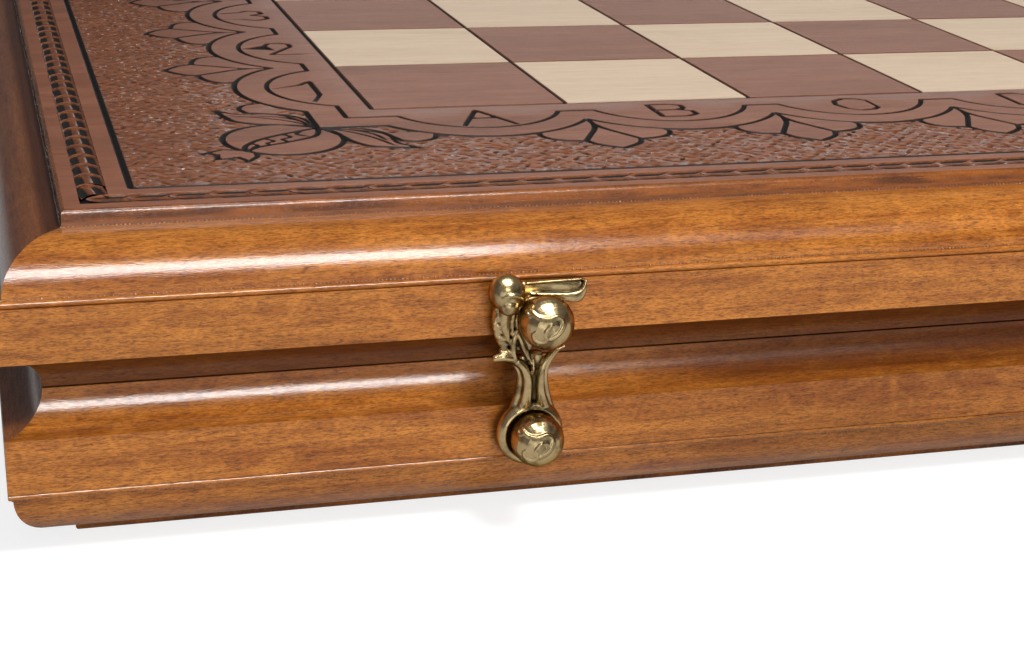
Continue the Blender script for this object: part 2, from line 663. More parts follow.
@dataclass
class CarvedBorder:
    """The carved border of a tray's playing face, drawn in plan and cut into a mesh."""

    square: float = 50.0
    files: int = 8
    ranks: int = 4
    panel_x: float = 279.0
    front_y: float = -131.5
    back_y: float = 145.0
    thickness: float = 2.5
    edge_round: float = 1.0
    line_width: float = 1.0
    rope_inset: float = 7.0
    rope_width: float = 6.0
    rope_depth: float = 1.2
    scribe_inset: float = 14.1
    inner_radius: float = 21.85
    inner_out: float = 8.0
    outer_radius: float = 30.0
    scribe_side: float = 14.9
    line_weight: float = 1.22
    cell_x: float = 4.1
    cell_y: float = 2.05
    ground_drop: float = 0.1
    pit_depth: float = 0.8
    chip: Point = (1.62, 0.82)
    letter_out: float = 10.6
    letter_size: Point = (11.0, 12.6)
    number_out: float = 10.4
    number_size: Point = (9.5, 15.4)
    seed: int = 7
    cuts: list[Cut] = field(default_factory=list)
    raised: list[np.ndarray] = field(default_factory=list)

    @property
    def board_x(self) -> float:
        """Half the width of the squares."""
        return self.files * self.square / 2

    @property
    def board_y(self) -> float:
        """Front edge of the squares."""
        return self.back_y - self.ranks * self.square

    @property
    def cusp_out(self) -> float:
        """Distance of the outer arcs' cusps from the squares."""
        return math.sqrt(self.outer_radius ** 2 - (self.square / 2) ** 2)

    def frames(self) -> list[tuple[Callable[[np.ndarray], np.ndarray], list[float], list[float]]]:
        """The three sides, each as a map from (along, outwards) with its arc middles and its tulips.

        Returns:
            For each side, the map, the middles of its arcs and the places of its tulips.
        """
        x0, y0, pitch = self.board_x, self.board_y, self.square
        front = [(-self.files / 2 + 0.5 + i) * pitch for i in range(self.files)]
        side = [y0 + (0.5 + j) * pitch for j in range(self.ranks)]
        front_cusps = [(-self.files / 2 + 1 + i) * pitch for i in range(self.files - 1)]
        side_cusps = [y0 + (1 + j) * pitch for j in range(self.ranks)]
        return [
            (lambda p: np.stack([p[:, 0], y0 - p[:, 1]], axis=1), front, front_cusps),
            (lambda p: np.stack([-x0 - p[:, 1], p[:, 0]], axis=1), side, side_cusps),
            (lambda p: np.stack([x0 + p[:, 1], p[:, 0]], axis=1), side, side_cusps),
        ]

    def add(self, path: np.ndarray, half_width: float = 0.6, depth: float = 0.85, taper: float = 0.0,
            burnt: bool = True) -> None:
        """Adds a cut along a path."""
        wide = half_width * (self.line_weight if burnt else 1.0)
        self.cuts.append(Cut(np.asarray(path, dtype=float), wide, depth, taper, burnt))

    def draw(self, tray: Tray) -> None:
        """Draws the whole ornament for one tray.

        Args:
            tray: The tray, which sets its letters and numbers.
        """
        self.cuts.clear()
        self.raised.clear()
        self._board_lines()
        self._arcs()
        for to_plan, _, cusps in self.frames():
            for at in cusps:
                self._tulip(to_plan, at)
        for sign in (1, -1):
            self._fruit(sign)
        self._scribe()
        self._letters(tray)

    def _board_lines(self) -> None:
        """Lines round and between the squares."""
        x, y, back = self.board_x, self.board_y, self.back_y
        between, around = 0.55, 0.7
        for column in range(self.files + 1):
            at = -x + column * self.square
            self.add(corners_path([(at, y), (at, back)], 2.5),
                     between if 0 < column < self.files else around, 0.6)
        for row in range(self.ranks):
            at = y + row * self.square
            self.add(corners_path([(-x, at), (x, at)], 2.5), between if row else around, 0.6)

    def _arcs(self) -> None:
        """The inner and the outer line of the scalloped band."""
        half = math.degrees(math.asin(self.inner_out / self.inner_radius))
        lean = math.degrees(math.acos(self.square / 2 / self.outer_radius))
        reach = math.sqrt(self.inner_radius ** 2 - self.inner_out ** 2)
        outline: list[np.ndarray] = []
        for side, (to_plan, middles, _) in enumerate(self.frames()):
            ends = (-self.board_x, self.board_x) if side == 0 else (self.board_y, self.back_y)
            flats = [ends[0] - self.inner_out] + [m + s * reach for m in middles for s in (-1, 1)]
            flats.append(ends[1] + self.inner_out if side == 0 else ends[1])
            for a, b in zip(flats[::2], flats[1::2]):
                self.add(to_plan(corners_path([(a, self.inner_out), (b, self.inner_out)])), 0.6, 0.7)
            for middle in middles:
                arc = arc_path((middle, 0), self.inner_radius, 180 - half, half)
                self.add(to_plan(arc), 0.6, 0.8)
                outer = arc_path((middle, 0), self.outer_radius, 180 - lean, lean)
                self.add(to_plan(outer), 0.6, 0.9)
                if side < 2:
                    outline.append(to_plan(outer))
            if side < 2:
                for end, sign in ((ends[0], -1), (ends[1], 1)):
                    if side == 1 and sign == 1:
                        continue
                    piece = corners_path([(end, self.cusp_out), (end + sign * self.cusp_out, self.cusp_out)])
                    self.add(to_plan(piece), 0.6, 0.9)
            else:
                piece = corners_path([(ends[0], self.cusp_out), (ends[0] - self.cusp_out, self.cusp_out)])
                self.add(to_plan(piece), 0.6, 0.9)
        front = np.vstack(outline[: self.files])
        left = np.vstack(outline[self.files:])[::-1]
        corner = np.array([[-self.board_x - self.cusp_out, self.board_y - self.cusp_out]])
        right = left[::-1] * (-1, 1)
        self.raised.append(np.vstack([left, corner, front, corner * (-1, 1), right]))

    def _tulip(self, to_plan: Callable[[np.ndarray], np.ndarray], at: float) -> None:
        """A tulip below a cusp of the outer line.

        Args:
            to_plan: Map from (along, outwards) to the plan.
            at: Place along the side.
        """
        heart_top, heart_tip = 22.3, 45.0
        self.add(to_plan(corners_path([(at, self.cusp_out), (at, heart_top)])), 0.6, 0.85)
        heart: dict[int, np.ndarray] = {}
        for sign in (-1, 1):
            upper = smooth_path([(at, heart_top), (at + sign * 1.4, 27.0), (at + sign * 4.2, 32.4),
                                 (at + sign * 6.8, 37.3)])
            lower = smooth_path([(at + sign * 6.8, 37.3), (at + sign * 5.4, 40.6), (at + sign * 2.9, 43.0),
                                 (at, heart_tip)])
            self.add(to_plan(upper), 0.65, 0.9)
            self.add(to_plan(lower), 0.6, 0.85)
            heart[sign] = np.vstack([upper, lower])
            petal = smooth_path([(at + sign * 15.8, 28.6), (at + sign * 16.1, 31.6), (at + sign * 14.5, 34.6),
                                 (at + sign * 11.3, 36.4), (at + sign * 6.8, 37.3)])
            self.add(to_plan(petal), 0.6, 0.85)
            arc = arc_path((at + sign * 25, 0), self.outer_radius, 90 + sign * 56.4, 90 + sign * 17.9)
            self.raised.append(to_plan(np.vstack([arc, petal, upper[::-1]])))
        self.raised.append(to_plan(np.vstack([heart[-1], heart[1][::-1]])))

    def _fruit(self, sign: int) -> None:
        """A pomegranate with its leaves at a front corner.

        Args:
            sign: 1 at the left corner and -1 at the right one.
        """
        stem = (-self.board_x - self.cusp_out, self.board_y - self.cusp_out)
        flip = np.array([sign, 1.0])

        def other(path: np.ndarray) -> np.ndarray:
            """Mirrors a path in the corner's diagonal."""
            return np.stack([stem[0] + path[:, 1] - stem[1], stem[1] + path[:, 0] - stem[0]], axis=1)

        radius = 13.8
        middle = (stem[0] - radius * 0.7071, stem[1] - radius * 0.7071)
        fruit = arc_path(middle, radius, 45, 405)
        self.add(fruit * flip, 0.6, 0.9)
        self.raised.append(fruit * flip)
        foot = (-236.2, -90.7)
        upper = smooth_path([stem, (-220.2, -73.6), (-227.2, -77.6), (-232.9, -82.2), (-236.0, -87.0), foot])
        lower = smooth_path([stem, (-217.9, -78.0), (-220.6, -81.0), (-226.6, -84.5), (-232.6, -87.4), foot])
        for side in (upper, lower):
            self.add(side * flip, 0.62, 0.95)
        for seed in ([(-221.3, -74.6), (-222.6, -77.0), (-221.0, -79.0)],
                     [(-225.6, -77.2), (-224.4, -79.6), (-226.6, -81.4), (-225.6, -83.6)],
                     [(-230.4, -80.6), (-228.8, -82.8), (-230.6, -84.4), (-230.0, -85.8)],
                     [(-234.2, -84.6), (-233.0, -86.0), (-234.2, -87.8)]):
            self.add(smooth_path(seed) * flip, 0.5, 0.7)
        crown = [(-236.4, -90.2), (-241.2, -88.8), (-245.3, -91.2), (-242.9, -93.0), (-243.5, -96.9),
                 (-240.2, -96.2), (-238.9, -95.6), (-236.9, -99.4), (-234.5, -95.6), (-234.4, -92.4)]
        rim = corners_path([*crown, crown[0]])
        self.add(rim * flip, 0.5, 0.8)
        self.raised.append(rim * flip)
        bud_end = smooth_path([(-226.4, -45.4), (-230.3, -46.9), (-232.1, -50.6), (-231.1, -54.6)])
        bud_foot = smooth_path([(-231.1, -54.6), (-227.5, -55.8), (-222.1, -58.0), (-218.6, -62.5), stem])
        leaf = smooth_path([stem, (-224.0, -67.9), (-230.2, -66.1), (-234.7, -63.1), (-236.3, -59.4),
                            (-238.1, -51.8)])
        leaf_top = smooth_path([(-238.1, -51.8), (-234.0, -55.6), (-231.1, -56.3), (-226.4, -56.6),
                                (-222.0, -59.8), stem])
        veins = [smooth_path([(-235.6, -57.2), (-228.0, -60.4), (-221.6, -65.0), stem]),
                 smooth_path([(-230.6, -58.0), (-224.2, -60.0), (-219.8, -64.4), stem])]
        arc = arc_path((-self.board_x, self.board_y + self.square / 2), self.outer_radius, 198, 214)
        for turn in (lambda path: path, other):
            for line, width, depth in ((bud_end, 0.55, 0.85), (bud_foot, 0.5, 0.75), (leaf, 0.6, 0.85),
                                       (leaf_top, 0.5, 0.7)):
                self.add(turn(line) * flip, width, depth)
            for line in veins:
                self.add(turn(line) * flip, 0.45, 0.6, taper=3.0)
            self.raised.append(turn(np.vstack([bud_end, bud_foot, arc[::-1]])) * flip)
            self.raised.append(turn(np.vstack([leaf, leaf_top])) * flip)

    def _scribe(self) -> None:
        """The straight line between the rope and the stippled ground."""
        x, y = self.panel_x - self.scribe_side, self.front_y + self.scribe_inset
        for sign in (-1, 1):
            self.add(corners_path([(sign * x, y), (sign * x, self.back_y)], 1.2), 0.65, 1.0)
        self.add(corners_path([(-x, y), (x, y)], 1.2), 0.65, 1.0)

    def _letters(self, tray: Tray) -> None:
        """Letters in front of the files and numbers beside the ranks.

        Args:
            tray: The tray. The base's are read from below.
        """
        turn = 1 if tray is Tray.LID else -1
        for column in range(self.files):
            middle = (column - self.files / 2 + 0.5) * self.square
            self._glyph("ABCDEFGH"[column], (middle, self.board_y - self.letter_out), self.letter_size, turn)
        for row in range(self.ranks):
            number = str(row + 1 if tray is Tray.LID else 2 * self.ranks - row)
            for sign in (-1, 1):
                at = (sign * (self.board_x + self.number_out), self.board_y + (row + 0.5) * self.square)
                self._glyph(number, at, self.number_size, turn)

    def _glyph(self, glyph: str, at: Point, size: Point, turn: int) -> None:
        """One letter or number.

        Args:
            glyph: The character.
            at: Its middle.
            size: Its width and height.
            turn: -1 where it is read from below.
        """
        for stroke in GLYPHS[glyph]:
            points = [(at[0] + turn * (u - 0.5) * size[0], at[1] + (v - 0.5) * size[1]) for u, v in stroke]
            self.add(corners_path(points, 0.9), 0.85, 0.8, burnt=False)

    def _in_ground(self, points: np.ndarray) -> np.ndarray:
        """Tells which points lie in the stippled ground.

        Args:
            points: Array of x and y.

        Returns:
            Array of truth values.
        """
        keep = (np.abs(points[:, 0]) < self.panel_x - self.scribe_side) \
            & (points[:, 1] > self.front_y + self.scribe_inset)
        for polygon in self.raised:
            keep &= ~inside(points, polygon)
        return keep

    def _stipple(self, half: int) -> np.ndarray:
        """Points of the punched ground in one half: x, y and depth.

        Args:
            half: -1 for the left half and 1 for the right one.

        Returns:
            Array of points.
        """
        rng = np.random.default_rng(self.seed)
        rows = np.arange(self.front_y + self.scribe_inset + 1.4, self.back_y - 0.6, self.cell_y)
        columns = np.arange(0.6, self.panel_x - self.scribe_inset - 1, self.cell_x)
        centre_x, centre_y = np.meshgrid(columns, rows)
        centre_x = centre_x + (np.arange(len(rows)) % 2)[:, None] * self.cell_x / 2
        centres = np.stack([centre_x.ravel(), centre_y.ravel()], axis=1)
        on_board = (centres[:, 0] < self.board_x) & (centres[:, 1] > self.board_y)
        centres = centres[~on_board]
        middle = centres + rng.normal(0, 0.2, centres.shape)
        deep = self.pit_depth * rng.uniform(0.55, 1.35, len(middle))
        lean = rng.normal(0, 0.5, len(middle))
        size = rng.uniform(0.8, 1.12, len(middle))
        made = [np.column_stack([middle, deep])]
        long, wide = self.chip
        for share in (-0.5, 0.5):
            along = np.column_stack([long * share * size * np.cos(lean), long * share * size * np.sin(lean)])
            made.append(np.column_stack([middle + along, deep * rng.uniform(0.6, 0.95, len(middle))]))
        for k in range(8):
            angle = 2 * math.pi * k / 8
            reach = 1.0 if k % 4 == 0 else 0.86
            u, v = long * size * reach * math.cos(angle), wide * size * reach * math.sin(angle)
            ring = middle + np.column_stack([u * np.cos(lean) - v * np.sin(lean),
                                             u * np.sin(lean) + v * np.cos(lean)])
            made.append(np.column_stack([ring, self.ground_drop + rng.uniform(-0.08, 0.12, len(middle))]))
        points = np.vstack(made)
        points[:, 0] *= half
        return points

    def mesh(self, half: int) -> tuple[np.ndarray, list[list[int]], np.ndarray]:
        """Triangles of one half of the plate, in plan.

        Args:
            half: -1 for the left half and 1 for the right one.

        Returns:
            Points as x, y and depth, faces whose normals point out of the playing face, and each point's
            share of burning, which is 1 in a line.
        """
        points: list[tuple[float, float]] = []
        depths: list[float] = []
        edges: list[tuple[int, int]] = []
        samples: list[tuple[float, float, float, float]] = []
        side_points: list[np.ndarray] = []

        def chain(path: np.ndarray, depth: np.ndarray, closed: bool = False) -> None:
            """Adds a polyline as fixed edges."""
            start = len(points)
            points.extend(map(tuple, path))
            depths.extend(depth)
            edges.extend((start + i, start + i + 1) for i in range(len(path) - 1))
            if closed:
                edges.append((start + len(path) - 1, start))

        plain: set[int] = set()
        for cut in self.cuts:
            first = len(points)
            for path, share in self._in_half(cut, half):
                if len(path) < 2:
                    continue
                chain(path, cut.depth * share)
                fine = spaced(np.column_stack([path, share]), 0.22)
                samples.extend((x, y, cut.half_width * (0.4 + 0.6 * s), cut.depth * s) for x, y, s in fine)
                tangent = np.gradient(path, axis=0)
                tangent /= np.maximum(np.linalg.norm(tangent, axis=1), 1e-9)[:, None]
                normal = np.column_stack([-tangent[:, 1], tangent[:, 0]])
                width = (cut.half_width * (0.4 + 0.6 * share) + 0.02)[:, None]
                for sign in (-1, 1):
                    side_points.append(path + sign * normal * width)
            if not cut.burnt:
                plain.update(range(first, len(points)))
        tree = KDTree(len(samples))
        for i, (x, y, _, _) in enumerate(samples):
            tree.insert((x, y, 0), i)
        tree.balance()

        def cut_depth(x: float, y: float, slack: float = 0.0) -> float:
            """Depth of the cuts at a point."""
            best = 0.0
            for _, index, distance in tree.find_range((x, y, 0), 1.1 + slack):
                _, _, half_width, depth = samples[index]
                best = max(best, depth * (1 - distance / (half_width + slack)))
            return best

        inset = self.edge_round
        limit_x, limit_y = self.panel_x - inset, self.front_y + inset
        free = np.vstack(side_points)
        free = free[self._on_plate(free, half, 0.05)]
        ground = self._in_ground(free)
        for (x, y), low in zip(free, ground):
            if cut_depth(x, y) < 0.06:
                points.append((x, y))
                depths.append(self.ground_drop if low else 0.0)
        lined = len(points)
        dots = self._stipple(half)
        dots = dots[self._on_plate(dots[:, :2], half, 0.3)]
        dots = dots[self._in_ground(dots[:, :2])]
        for x, y, depth in dots:
            if cut_depth(x, y, 0.3) <= 0:
                points.append((x, y))
                depths.append(depth)
        rope_low = self.rope_inset - self.rope_width / 2
        rope_high = self.rope_inset + self.rope_width / 2
        for offset, drop in ((rope_low - 0.02, 0.0), (rope_low + 0.25, self.rope_depth),
                             (rope_high - 0.25, self.rope_depth), (rope_high + 0.02, 0.0)):
            path = self._ring(offset, half, 2.5)
            chain(path, np.full(len(path), drop))
        outer = self._ring(inset, half, 3.0)
        chain(outer, np.zeros(len(outer)))
        board_side = half * (self.board_x - self.line_width / 2)
        borders = [(corners_path([(half * limit_x, self.back_y), (board_side, self.back_y)], 2.0), False),
                   (corners_path([(0, limit_y), (0, self.back_y)], 1.2), False)]
        pockets = self._pockets(half)
        for low_x, low_y, high_x, high_y in pockets:
            corners = [(low_x, low_y), (high_x, low_y), (high_x, high_y), (low_x, high_y), (low_x, low_y)]
            borders.append((corners_path(corners, 2.5)[:-1], True))
        for path, closed in borders:
            chain(path, np.array([cut_depth(x, y) for x, y in path]), closed)
        verts, _, faces, origins, _, _ = delaunay_2d_cdt(
            [Vector(p) for p in points], edges, [], 0, 1e-4)
        plan = np.zeros((len(verts), 3))
        for i, (vert, origin) in enumerate(zip(verts, origins)):
            plan[i, :2] = vert
            plan[i, 2] = max(depths[k] for k in origin) if origin else cut_depth(*vert)
        faces = [list(f) for f in faces]
        middles = np.array([plan[f, :2].mean(axis=0) for f in faces])
        keep = np.ones(len(faces), dtype=bool)
        for low_x, low_y, high_x, high_y in pockets:
            keep &= ~((middles[:, 0] > low_x) & (middles[:, 0] < high_x)
                      & (middles[:, 1] > low_y) & (middles[:, 1] < high_y))
        faces = [f for f, k in zip(faces, keep) if k]
        points_now, faces = self._with_walls(plan, faces, half)
        burn = np.zeros(len(points_now))
        burn[:len(origins)] = [bool(origin) and min(origin) < lined and min(origin) not in plain
                               for origin in origins]
        return points_now, faces, burn

    def _in_half(self, cut: Cut, half: int) -> list[tuple[np.ndarray, np.ndarray]]:
        """Pieces of a cut that lie in one half of the plate.

        Args:
            cut: The cut.
            half: -1 for the left half and 1 for the right one.

        Returns:
            Paths, each with its depth shares.
        """
        rows = np.column_stack([cut.path, cut.share()])
        rows[:, 1] = np.minimum(rows[:, 1], self.back_y)
        pieces: list[list[np.ndarray]] = [[]]
        for first, second in zip(rows, rows[1:]):
            in_first, in_second = first[0] * half >= 0, second[0] * half >= 0
            if in_first and not pieces[-1]:
                pieces[-1].append(first)
            if in_first != in_second:
                t = first[0] / (first[0] - second[0])
                pieces[-1].append(first + t * (second - first))
                if in_first:
                    pieces.append([])
            if in_second:
                pieces[-1].append(second)
        kept = []
        for piece in pieces:
            if len(piece) > 1:
                rows = np.array(piece)
                moved = np.concatenate([[True], np.linalg.norm(np.diff(rows[:, :2], axis=0), axis=1) > 1e-3])
                rows = rows[moved]
                kept.append((rows[:, :2], rows[:, 2]))
        return kept

    def _on_plate(self, points: np.ndarray, half: int, margin: float) -> np.ndarray:
        """Tells which points lie on one half's flat, clear of its borders by a margin."""
        x, y, inset = points[:, 0], points[:, 1], self.edge_round + margin
        in_x = (x * half > margin) & (np.abs(x) < self.panel_x - inset)
        return in_x & (y > self.front_y + inset) & (y < self.back_y - margin)

    def _ring(self, inset: float, half: int, step: float) -> np.ndarray:
        """Line round one half of the plate at an inset from its edge.

        Args:
            inset: Distance from the panel's edge.
            half: -1 for the left half and 1 for the right one.
            step: Distance between points.

        Returns:
            Array of x and y from the middle of the front to the back.
        """
        x, y = half * (self.panel_x - inset), self.front_y + inset
        return corners_path([(0, y), (x, y), (x, self.back_y)], step)

    def _pockets(self, half: int) -> list[tuple[float, float, float, float]]:
        """Rectangles of the squares' pockets in one half: lowest and highest x and y."""
        inset = self.line_width / 2
        made = []
        for column in range(self.files // 2):
            for row in range(self.ranks):
                x0 = half * column * self.square
                x1 = x0 + half * self.square
                y0 = self.board_y + row * self.square
                made.append((min(x0, x1) + inset, y0 + inset, max(x0, x1) - inset, y0 + self.square - inset))
        return made

    def _with_walls(self, plan: np.ndarray, faces: list[list[int]], half: int) -> tuple[np.ndarray, list]:
        """Closes the carved face with the rounded edge, the walls and the underside.

        Args:
            plan: Points of the face as x, y and depth.
            faces: Its triangles.
            half: -1 for the left half and 1 for the right one.

        Returns:
            All points and faces.
        """
        uses: dict[tuple[int, int], int] = {}
        turned: dict[tuple[int, int], tuple[int, int]] = {}
        for a, b, c in faces:
            for edge in ((a, b), (b, c), (c, a)):
                key = (min(edge), max(edge))
                uses[key] = uses.get(key, 0) + 1
                turned[key] = edge
        rim = [turned[key] for key, count in uses.items() if count == 1]
        r, limit_x, limit_y = self.edge_round, self.panel_x - self.edge_round, self.front_y + self.edge_round
        rows = [(r * math.sin(a), r - r * math.cos(a)) for a in np.radians([0, 22.5, 45, 67.5, 90])]
        rows.append((r, self.thickness))
        points = [tuple(p) for p in plan]
        columns: dict[int, list[int]] = {}

        def column(index: int) -> list[int]:
            """Points below one point of the rim."""
            if index not in columns:
                x, y, depth = plan[index]
                on_side, on_front = abs(abs(x) - limit_x) < 1e-3, abs(y - limit_y) < 1e-3
                made = [index]
                outer = on_side or on_front
                for out, drop in rows[1:] if outer else [(0, self.thickness)] * (len(rows) - 1):
                    points.append((x + (half * out if on_side else 0), y - (out if on_front else 0),
                                   max(drop, depth + 1e-3) if outer else drop))
                    made.append(len(points) - 1)
                columns[index] = made
            return columns[index]

        walls: list[list[int]] = []
        for a, b in rim:
            first, second = column(a), column(b)
            if self._on_edge(plan[a]) and self._on_edge(plan[b]):
                walls.extend([second[k], first[k], first[k + 1], second[k + 1]] for k in range(len(rows) - 1))
            else:
                walls.append([b, a, first[-1], second[-1]])
        floor_ids = sorted({columns[i][-1] for edge in rim for i in edge})
        number = {v: i for i, v in enumerate(floor_ids)}
        floor_edges = [(number[columns[a][-1]], number[columns[b][-1]]) for a, b in rim]
        flat_points = np.array(points)
        verts, _, tris, origins, _, _ = delaunay_2d_cdt(
            [Vector(flat_points[i, :2]) for i in floor_ids], floor_edges, [], 0, 1e-5)
        back_to = []
        for vert, origin in zip(verts, origins):
            if origin:
                back_to.append(floor_ids[origin[0]])
            else:
                points.append((vert[0], vert[1], self.thickness))
                back_to.append(len(points) - 1)
        pockets = self._pockets(half)
        for tri in tris:
            mx, my = np.mean([verts[i] for i in tri], axis=0)
            if not any(lx < mx < hx and ly < my < hy for lx, ly, hx, hy in pockets):
                walls.append([back_to[i] for i in reversed(tri)])
        return np.array(points), faces + walls

    def _on_edge(self, point: np.ndarray) -> bool:
        """Tells whether a rim point lies on the rounded outer edge."""
        return abs(abs(point[0]) - self.panel_x + self.edge_round) < 1e-3 \
            or abs(point[1] - self.front_y - self.edge_round) < 1e-3

    def build(self, tray: Tray, material: bpy.types.Material) -> list[bpy.types.Object]:
        """Builds both halves of a tray's carved plate.

        Args:
            tray: The tray.
            material: Finish of the plate.

        Returns:
            The pieces.
        """
        self.draw(tray)
        made = []
        for half, side in ((-1, "left"), (1, "right")):
            plan, faces, burn = self.mesh(half)
            if tray is Tray.BASE:
                faces = [list(reversed(f)) for f in faces]
            piece = shaped(f"{tray.body}_carved_border_{side}", tray.place(plan), faces)
            marks = piece.data.attributes.new("burn", "FLOAT", "POINT")
            marks.data.foreach_set("value", burn.astype(np.float32))
            dress(piece, material)
            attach(piece, tray.body)
            log.info("%s: %d faces", piece.name, len(faces))
            made.append(piece)
        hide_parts(f"{tray.body}_carved_plate")
        return made


@dataclass
class RowAlong:
    """Geometry Nodes that set copies of an element along a path."""

    name: str
    pitch: float
    size_spread: float = 0.0
    turn_spread: float = 0.0
    seed: int = 3

    def _tree(self) -> bpy.types.GeometryNodeTree:
        """Builds the node tree.

        Returns:
            The tree.
        """
        tree = bpy.data.node_groups.new(self.name, "GeometryNodeTree")
        face = tree.interface
        face.new_socket("Path", in_out="INPUT", socket_type="NodeSocketGeometry")
        for label, kind in (("Element", "Object"), ("Pitch", "Float"), ("Size spread", "Float"),
                            ("Turn spread", "Float"), ("Seed", "Int"), ("Finish", "Material")):
            face.new_socket(label, in_out="INPUT", socket_type=f"NodeSocket{kind}")
        face.new_socket("Row", in_out="OUTPUT", socket_type="NodeSocketGeometry")

        def add(kind: str, inputs: dict | None = None, **settings) -> bpy.types.Node:
            """Adds a node and links or sets its inputs."""
            made = tree.nodes.new(kind)
            for key, value in settings.items():
                setattr(made, key, value)
            for key, value in (inputs or {}).items():
                if isinstance(value, bpy.types.NodeSocket):
                    tree.links.new(value, made.inputs[key])
                else:
                    made.inputs[key].default_value = value
            return made

        given = add("NodeGroupInput").outputs
        curve = add("GeometryNodeMeshToCurve", {0: given["Path"]})
        dots = add("GeometryNodeCurveToPoints", {"Curve": curve.outputs[0], "Length": given["Pitch"]},
                   mode="LENGTH")
        turn = add("FunctionNodeAlignRotationToVector", {"Vector": dots.outputs["Tangent"]},
                   axis="X", pivot_axis="Z")
        low = add("ShaderNodeMath", {0: 1.0, 1: given["Size spread"]}, operation="SUBTRACT")
        high = add("ShaderNodeMath", {0: 1.0, 1: given["Size spread"]}, operation="ADD")
        back = add("ShaderNodeMath", {0: given["Turn spread"], 1: -1.0}, operation="MULTIPLY")
        size, lean = (add("FunctionNodeRandomValue", {"Seed": given["Seed"], 2: least, 3: most})
                      for least, most in ((low.outputs[0], high.outputs[0]),
                                          (back.outputs[0], given["Turn spread"])))
        tilt = add("ShaderNodeCombineXYZ", {"Z": lean.outputs[1]})
        both = add("FunctionNodeRotateRotation", {0: turn.outputs[0], 1: tilt.outputs[0]},
                   rotation_space="LOCAL")
        shape = add("GeometryNodeObjectInfo", {"Object": given["Element"]})
        copies = add("GeometryNodeInstanceOnPoints", {
            "Points": dots.outputs["Points"], "Instance": shape.outputs["Geometry"],
            "Rotation": both.outputs[0], "Scale": size.outputs[1]})
        real = add("GeometryNodeRealizeInstances", {0: copies.outputs[0]})
        dressed = add("GeometryNodeSetMaterial", {0: real.outputs[0], "Material": given["Finish"]})
        add("NodeGroupOutput", {0: dressed.outputs[0]})
        return tree

    def build(self, name: str, path: np.ndarray, element: bpy.types.Object,
              material: bpy.types.Material) -> bpy.types.Object:
        """Sets the element along a path and makes the result a plain mesh.

        Args:
            name: Name of the piece.
            path: Points in metres.
            element: The element, along +X at the origin. It is removed.
            material: Finish of the row.

        Returns:
            The piece.
        """
        mesh = bpy.data.meshes.new(name + "_path")
        mesh.from_pydata([tuple(p) for p in path], [(i, i + 1) for i in range(len(path) - 1)], [])
        carrier = linked(name + "_path", mesh)
        tree = self._tree()
        modifier = carrier.modifiers.new("row", "NODES")
        modifier.node_group = tree
        given = {"Element": element, "Pitch": self.pitch * MM, "Size spread": self.size_spread,
                 "Turn spread": self.turn_spread, "Seed": self.seed, "Finish": material}
        for item in tree.interface.items_tree:
            if item.item_type == "SOCKET" and item.in_out == "INPUT" and item.name in given:
                modifier[item.identifier] = given[item.name]
        real = plain_copy(carrier)
        real.name = name
        piece = linked(name, real)
        dress(piece, material)
        for helper in (carrier, element):
            bpy.data.objects.remove(helper)
        return piece


@dataclass
class RopeBorder:
    """Carved rope of overlapping scales in the channel round the panel."""

    border: CarvedBorder
    pitch: float = 8.2
    bow: float = 3.2
    turn_radius: float = 4.5

    def _element(self, up: float) -> bpy.types.Object:
        """One scale, pointing along +X: an arched rim, a warm hollow in the middle and gouges beside it.

        Args:
            up: 1 on the lid and -1 on the base.

        Returns:
            The scale.
        """
        half = self.border.rope_width / 2 - 0.05
        rows = (0.0, 0.07, 0.17, 0.36, 0.6, 0.8, 0.93, 1.0)
        lip, deepest = 0.04, 1.05
        across = (-1, -0.86, -0.66, -0.46, -0.26, 0, 0.26, 0.46, 0.66, 0.86, 1)
        profile = (0.02, 0.3, 0.8, 0.7, 0.26, 0.2, 0.28, 0.85, 1.0, 0.6, 0.02)
        points: list[tuple[float, float, float]] = []
        for p in rows:
            hollow = min(1.0, p / 0.17) * min(1.0, (1 - p) / 0.2)
            for v, low in zip(across, profile):
                along = self.pitch * p - self.bow * abs(v) ** 1.6
                depth = min(lip + low * hollow, deepest)
                points.append((along * MM, v * half * MM, -up * depth * MM))
        wide = len(across)
        faces = []
        for i in range(len(rows) - 1):
            for j in range(wide - 1):
                a = i * wide + j
                quad = [a, a + wide, a + wide + 1, a + 1]
                faces.append(quad if up > 0 else quad[::-1])
        return shaped("scale", np.array(points), faces, 60)

    def build(self, tray: Tray, material: bpy.types.Material) -> list[bpy.types.Object]:
        """Builds a tray's rope, from the middle of the front to both ends.

        Args:
            tray: The tray.
            material: Finish of the rope.

        Returns:
            The pieces.
        """
        made = []
        edge, r = self.border, self.turn_radius
        x, y = edge.panel_x - edge.rope_inset, edge.front_y + edge.rope_inset
        left = arc_path((-x + r, y + r), r, 270, 180, 0.5)
        right = arc_path((x - r, y + r), r, 270, 360, 0.5)
        halves = [np.vstack([[(0, y)], side, [(sign * x, edge.back_y - self.pitch)]])
                  for sign, side in ((-1, left), (1, right))]
        row = RowAlong("rope row", self.pitch, 0.03, 0.03)
        for side, plan in zip(("left", "right"), halves):
            path = tray.place(np.column_stack([plan, np.zeros(len(plan))]))
            piece = row.build(f"{tray.body}_rope_{side}", path, self._element(tray.up), material)
            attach(piece, tray.body)
            log.info("%s: %d faces", piece.name, len(piece.data.polygons))
            made.append(piece)
        return made


